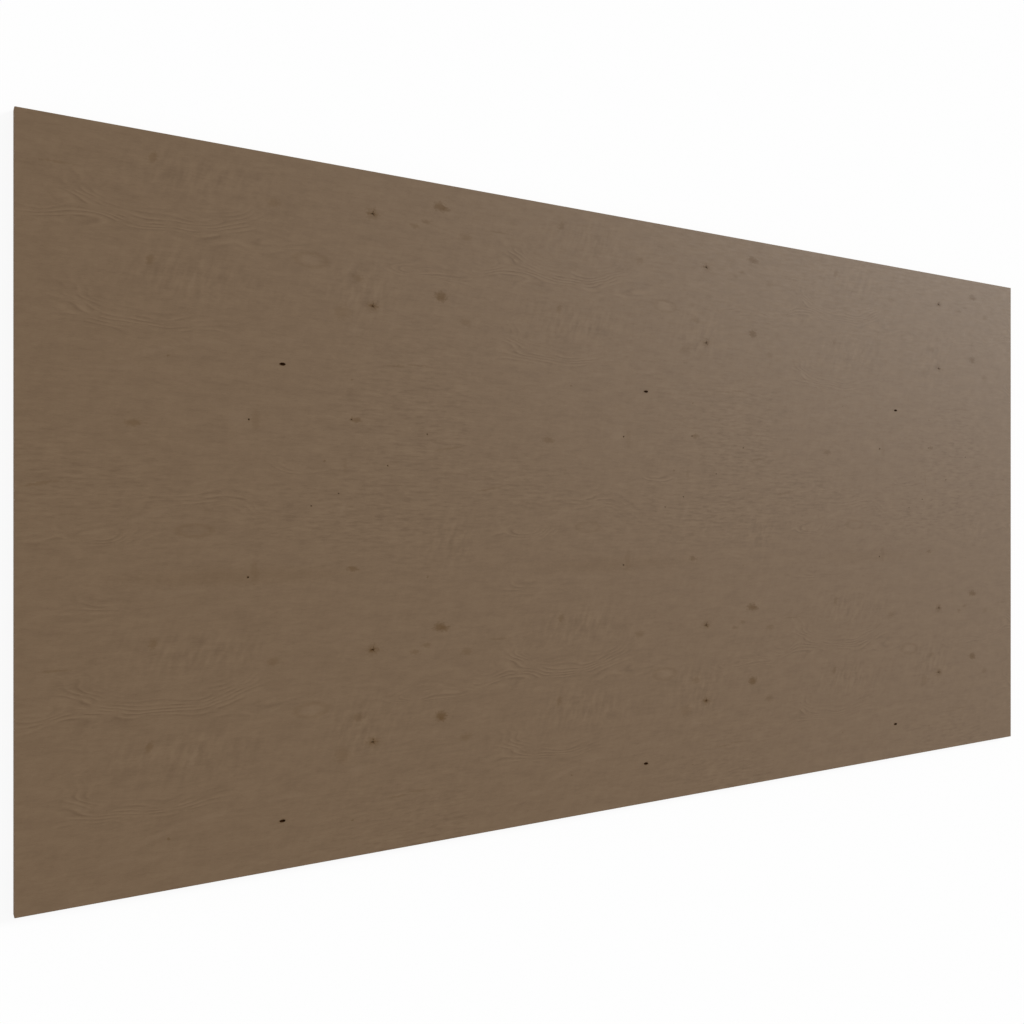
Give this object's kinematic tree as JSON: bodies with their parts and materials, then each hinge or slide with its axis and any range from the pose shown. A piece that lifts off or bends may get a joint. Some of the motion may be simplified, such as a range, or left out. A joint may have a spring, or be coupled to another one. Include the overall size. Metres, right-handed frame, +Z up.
{
  "type": "mdf panel",
  "caption": "Flat rectangular MDF sheet with a brown wood-grain show face and lightly eased edges, stock board for furniture, linings and joinery.",
  "frame": {"origin": "centre of the underside, on the floor that the sheet lies on", "axes": "+X along the sheet's length and the grain of its face, +Y across its width, +Z up out of the show face"},
  "size_m": [2.44, 1.22, 0.018],
  "materials": {
    "board": "satin, brown wood-grain face with plain brown fibre edges and back"
  },
  "bodies": {
    "root": {"mdf_panel": "board"}
  },
  "joints": []
}
